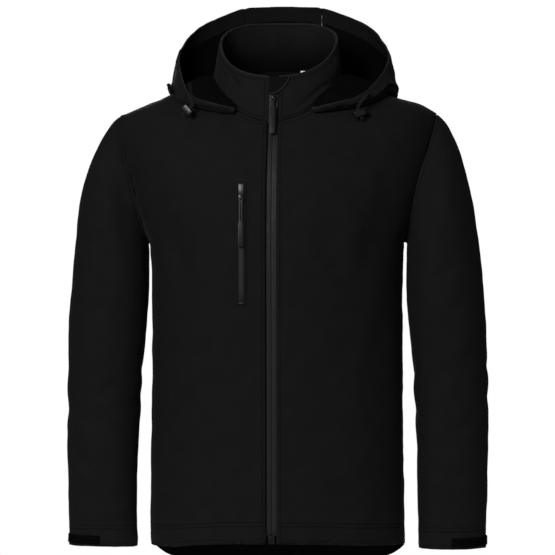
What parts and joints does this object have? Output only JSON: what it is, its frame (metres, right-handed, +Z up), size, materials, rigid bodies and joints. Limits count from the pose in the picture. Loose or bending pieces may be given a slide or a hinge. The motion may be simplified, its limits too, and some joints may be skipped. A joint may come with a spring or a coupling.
{
  "type": "hooded softshell jacket",
  "caption": "Hooded softshell jacket in its worn shape with nobody inside: stand-up collar, hood laid back, front zip, chest pocket zip, drop tail, cuff straps.",
  "frame": {"origin": "middle of the neck, level with the highest points of the shoulder seams", "axes": "+Z up, -Y towards the front, +X towards the wearer's left"},
  "size_m": [0.665, 0.3005, 0.918],
  "materials": {
    "cloth": "matt black softshell, faintly mottled, with stitched seams",
    "zip_tape": "black woven tape, coated",
    "plastic": "black moulded plastic, satin",
    "strap": "darker matt black cuff strap",
    "cord": "round black braided cord",
    "label": "plain white woven label with nothing on it"
  },
  "bodies": {
    "body": {"front_left": "cloth", "front_right": "cloth", "back": "cloth", "sleeve_left": "cloth", "sleeve_right": "cloth", "collar": "cloth", "hood_side_left": "cloth", "hood_centre": "cloth", "hood_side_right": "cloth", "chin_guard": "cloth", "pocket_welt_outer": "cloth", "pocket_welt_inner": "cloth", "zip_tape_left": "zip_tape", "zip_tape_right": "zip_tape", "pocket_tape": "zip_tape", "zip_box": "plastic", "zip_slider": "plastic", "pocket_garage": "plastic", "pocket_stop": "plastic", "pocket_slider": "plastic", "eyelet_left": "plastic", "eyelet_right": "plastic", "cord_lock_left": "plastic", "cord_lock_right": "plastic", "cuff_strap_left": "strap", "cuff_strap_right": "strap", "neck_label": "label", "cord_left_outer": "cord", "cord_left_inner": "cord", "cord_right_outer": "cord", "cord_right_inner": "cord"},
    "zip_pull": {"zip_pull": "plastic"},
    "pocket_pull": {"pocket_pull": "plastic"}
  },
  "joints": [
    {"name": "zip_pull_swing", "type": "hinge", "parent": "body", "child": "zip_pull", "pos_m": [0, -0.09103, -0.03676], "axis": [-1, 0, 0], "range_deg": [0, 150]},
    {"name": "pocket_pull_swing", "type": "hinge", "parent": "body", "child": "pocket_pull", "pos_m": [-0.046, -0.13711, -0.19252], "axis": [-1, 0, 0], "range_deg": [0, 150]}
  ]
}
